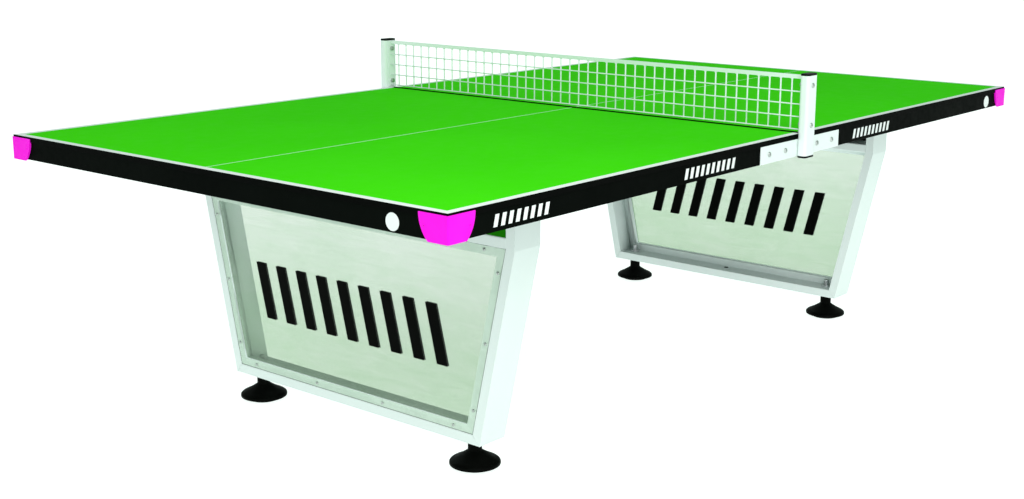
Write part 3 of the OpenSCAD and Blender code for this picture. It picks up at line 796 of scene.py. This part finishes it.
def make_rivets():
    """Blind rivets of the corner guards, painted to match, each with its dark mandrel."""
    bm, cores = bmesh.new(), bmesh.new()
    for low, high in islands("guard_rivets"):
        middle = (low + high) / 2
        size = high - low
        if size.x > size.y:
            way = (1 if middle.x > 0 else -1, 0, 0)
            tip = high.x if middle.x > 0 else low.x
            seat = Vector((tip - way[0] * RIVET_H * MM, middle.y, middle.z))
            reach = size.x / MM - RIVET_H
        else:
            way = (0, 1 if middle.y > 0 else -1, 0)
            tip = high.y if middle.y > 0 else low.y
            seat = Vector((middle.x, tip - way[1] * RIVET_H * MM, middle.z))
            reach = size.y / MM - RIVET_H
        profile = [(0, -reach), (1.3, -reach), (1.6, -reach + 0.4), (1.6, 0), (2.3, 0), (2.4, 0.2),
                   (2.25, 0.6), (1.9, 0.95), (1.6, 1.12), (1.3, RIVET_H), (1.1, 1.15), (1.0, 0.9),
                   (0.95, 0.3), (0, 0.2)]
        lathe(bm, profile, 24, along(seat, way))
        lathe(cores, [(0, 0.25), (0.9, 0.25), (0.9, 0.85), (0.6, 1.0), (0, 1.05)], 16, along(seat, way))
    piece = place_piece("guard_rivets_finished", bm, SLOT_OF["guard_rivets"], sharp=40.0)
    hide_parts("guard_rivets")
    place_piece("guard_rivet_mandrels", cores, "nut_black", sharp=40.0)


make_screws()
make_rivets()
rounded_node("leg_bolts", width=0.5, shortest=3.0)
rounded_node("seam_bolts", width=0.5, shortest=3.0)

# ---------------------------------------------------------------- levelling feet
THREAD_PITCH = 2.5
CORNERS = ("near_right", "near_left", "far_right", "far_left")


def make_pad(corner):
    """Foot pad: ringed sole, rounded rim, hollow-ground cone and a stepped neck."""
    node = "pad_" + corner
    low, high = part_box(node)
    axis = Vector(((low.x + high.x) / 2, (low.y + high.y) / 2, low.z))
    r = (high.x - low.x) / 2 / MM
    h = (high.z - low.z) / MM
    neck, bore = 17.5, 10.05
    rim, shoulder = (r - 8, 22.2), (neck + 3.4, 42.2)
    profile = [(0, 2.0), (14, 2.0), (15, 0.4), (17, 0.0), (28, 0.0), (28.8, 1.6), (31, 1.6),
               (31.8, 0.0), (41, 0.0), (42, 0.3), (43.2, 2.8), (r - 6, 6.8), (r - 2.2, 8.4),
               (r - 0.6, 9.4), (r, 11.0), (r, 14.6), (r - 0.5, 16.3), (r - 1.8, 18.0),
               (r - 4.2, 19.9), rim]
    steps, dip = 9, 1.1
    for k in range(1, steps):
        t = k / steps
        sag = dip * math.sin(math.pi * t)
        profile.append((rim[0] + (shoulder[0] - rim[0]) * t, rim[1] + (shoulder[1] - rim[1]) * t - sag))
    profile += [shoulder, (neck + 1.3, 43.6), (neck + 0.2, 45.2), (neck, 47), (neck, h - 8.2),
                (neck - 0.5, h - 7.8), (neck - 0.5, h - 7.2), (neck, h - 6.8), (neck, h - 1.2),
                (neck - 0.5, h - 0.3), (neck - 1.4, h), (bore + 1.0, h), (bore, h - 0.9),
                (bore, 20.4), (0, 20.0)]
    bm = bmesh.new()
    lathe(bm, profile, 96, Matrix.Translation(axis))
    piece = place_piece(node + "_finished", bm, "foot_black", node, sharp=40.0)
    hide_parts(node)


def make_stem(corner):
    """Threaded stem with a real helical thread and a hexagon socket in its top."""
    node = "stem_" + corner
    low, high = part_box(node)
    axis = Vector(((low.x + high.x) / 2, (low.y + high.y) / 2, 0.0))
    crest = (high.x - low.x) / 2
    root = crest - 1.25 * MM
    z0, z1 = low.z, high.z
    count, pitch = 32, THREAD_PITCH * MM
    bm = bmesh.new()
    turn = Matrix.Translation(axis)
    start, stop = z0 + 2.2 * MM, z1 - 2.2 * MM
    shape = ((0.0, root), (0.12, root), (0.44, crest), (0.62, crest), (0.94, root))
    rings = []
    turns = int((stop - start) / pitch)
    for n in range(turns):
        for share, radius in shape:
            rings.append((n + share, radius))
    rows = []
    for level, radius in rings:
        row = []
        for k in range(count):
            angle = 2 * math.pi * k / count
            z = start + (level - 1 + k / count) * pitch
            fade = 1.0 if start < z < stop - pitch else 0.0
            r = root + (radius - root) * fade
            z = min(max(z, start), stop)
            row.append(bm.verts.new(turn @ Vector((r * math.cos(angle), r * math.sin(angle), z))))
        rows.append(row)
    for lower, upper in zip(rows, rows[1:]):
        for k in range(count - 1):
            bm.faces.new((lower[k], lower[k + 1], upper[k + 1], upper[k]))
    step = len(shape)
    for n in range(len(rows) - step):
        a, b = rows[n], rows[n + 1]
        c, d = rows[n + step], rows[n + step + 1] if n + step + 1 < len(rows) else None
        if d is not None:
            bm.faces.new((a[count - 1], c[0], d[0], b[count - 1]))
    bmesh.ops.remove_doubles(bm, verts=bm.verts, dist=1e-6)
    bmesh.ops.dissolve_degenerate(bm, dist=1e-7, edges=bm.edges)
    piece = place_piece(node + "_thread", bm, SLOT_OF[node], node, sharp=30.0)
    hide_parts(node)
    bm = bmesh.new()
    r = root / MM + 0.03
    bottom, top = z0 / MM, z1 / MM
    profile = [(0, bottom), (r - 0.8, bottom), (r, bottom + 0.8), (r, top - 1.5), (r - 0.2, top - 0.5),
               (r - 0.7, top), (hexagon(6.2), top), (hexagon(5.8), top - 0.4), (hexagon(5.8), top - 8),
               (0, top - 8.6)]
    lathe(bm, profile, 36, Matrix.Translation(axis))
    place_piece(node + "_core", bm, SLOT_OF[node], node, sharp=30.0)


def make_locknuts():
    """Chamfered thin nuts between the pads and the leg frames."""
    bm = bmesh.new()
    for low, high in islands("foot_locknuts"):
        axis = Vector(((low.x + high.x) / 2, (low.y + high.y) / 2, 0.0))
        a, b = low.z / MM, high.z / MM
        corner = (high.x - low.x) / 2 / MM
        flat = corner * math.cos(math.pi / 6)
        bore = 10.1
        chamfered = hexagon(corner, flat * 1.03)
        profile = [(bore, a + 0.8), (bore + 0.9, a), (chamfered, a), (hexagon(corner), a + 1.4),
                   (hexagon(corner), b - 1.4), (chamfered, b), (bore + 0.9, b), (bore, b - 0.8),
                   (bore, a + 0.8)]
        lathe(bm, profile, 48, Matrix.Translation(axis))
    piece = place_piece("foot_locknuts_finished", bm, SLOT_OF["foot_locknuts"], sharp=28.0)
    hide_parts("foot_locknuts")


for corner in CORNERS:
    make_pad(corner)
    make_stem(corner)
make_locknuts()
rounded_node("foot_bushes", width=0.5, shortest=0.2)


# ---------------------------------------------------------------- stage and light
def make_floor():
    """Wide pale floor that glows a little, like a light table, so that shadows stay faint."""
    g = Graph("floor")
    tone = g.noise(0.8, detail=3.0)
    colour = g.mix(g.span(tone, 0.3, 0.7, 0.0, 1.0), rgba(0.41, 0.41, 0.41), rgba(0.43, 0.43, 0.43))
    glow = {"Specular IOR Level": 0.0, "Emission Color": rgba(0.92, 1.0, 0.96), "Emission Strength": 0.99}
    material = g.finish(colour, 0.75, g.noise(60.0), 0.00002, **glow)
    bm = bmesh.new()
    half = 60.0
    bm.faces.new([bm.verts.new((x, y, cad_low.z)) for x, y in
                  ((-half, -half), (half, -half), (half, half), (-half, half))])
    mesh = bpy.data.meshes.new("floor")
    bm.to_mesh(mesh)
    bm.free()
    mesh.materials.append(material)
    floor = bpy.data.objects.new("floor", mesh)
    scene.collection.objects.link(floor)


def make_key(toward, strength, spread, tint):
    """Wide, low and distant key light from the direction toward, which reaches in under the top."""
    data = bpy.data.lights.new("key", "SUN")
    data.energy = strength
    data.angle = math.radians(spread)
    data.color = tint
    light = bpy.data.objects.new("key", data)
    light.location = (0.0, 0.0, 4.0)
    light.rotation_mode = "QUATERNION"
    light.rotation_quaternion = Vector(toward).to_track_quat("Z", "Y")
    scene.collection.objects.link(light)


def make_side_box():
    """Long soft box over the right side, so that the top falls off towards its left side."""
    data = bpy.data.lights.new("side_box", "AREA")
    data.shape = "RECTANGLE"
    data.size, data.size_y = 2.4, 1.0
    data.color = (1.0, 0.92, 0.94)
    data.energy = 31.0
    light = bpy.data.objects.new("side_box", data)
    light.location = (-1.9, -1.75, 2.2)
    light.rotation_mode = "QUATERNION"
    light.rotation_quaternion = (light.location - Vector((-1.4, -0.5, 0.8))).to_track_quat("Z", "Y")
    scene.collection.objects.link(light)


def make_world():
    """Soft dome, a little brighter at the horizon."""
    world = bpy.data.worlds.new("studio")
    world.use_nodes = True
    tree = world.node_tree
    tree.nodes.clear()
    place = tree.nodes.new("ShaderNodeTexCoord")
    split = tree.nodes.new("ShaderNodeSeparateXYZ")
    ramp = tree.nodes.new("ShaderNodeMapRange")
    ramp.inputs["From Max"].default_value = 0.5
    ramp.inputs["To Min"].default_value = 0.74
    ramp.inputs["To Max"].default_value = 0.60
    back = tree.nodes.new("ShaderNodeBackground")
    back.inputs["Color"].default_value = rgba(0.84, 1.0, 0.93)
    out = tree.nodes.new("ShaderNodeOutputWorld")
    tree.links.new(place.outputs["Generated"], split.inputs[0])
    tree.links.new(split.outputs["Z"], ramp.inputs["Value"])
    tree.links.new(ramp.outputs["Result"], back.inputs["Strength"])
    tree.links.new(back.outputs[0], out.inputs["Surface"])
    scene.world = world


make_floor()
make_world()
make_key((-0.58, -0.66, 0.11), 0.72, 40.0, (1.0, 0.92, 0.96))
make_side_box()
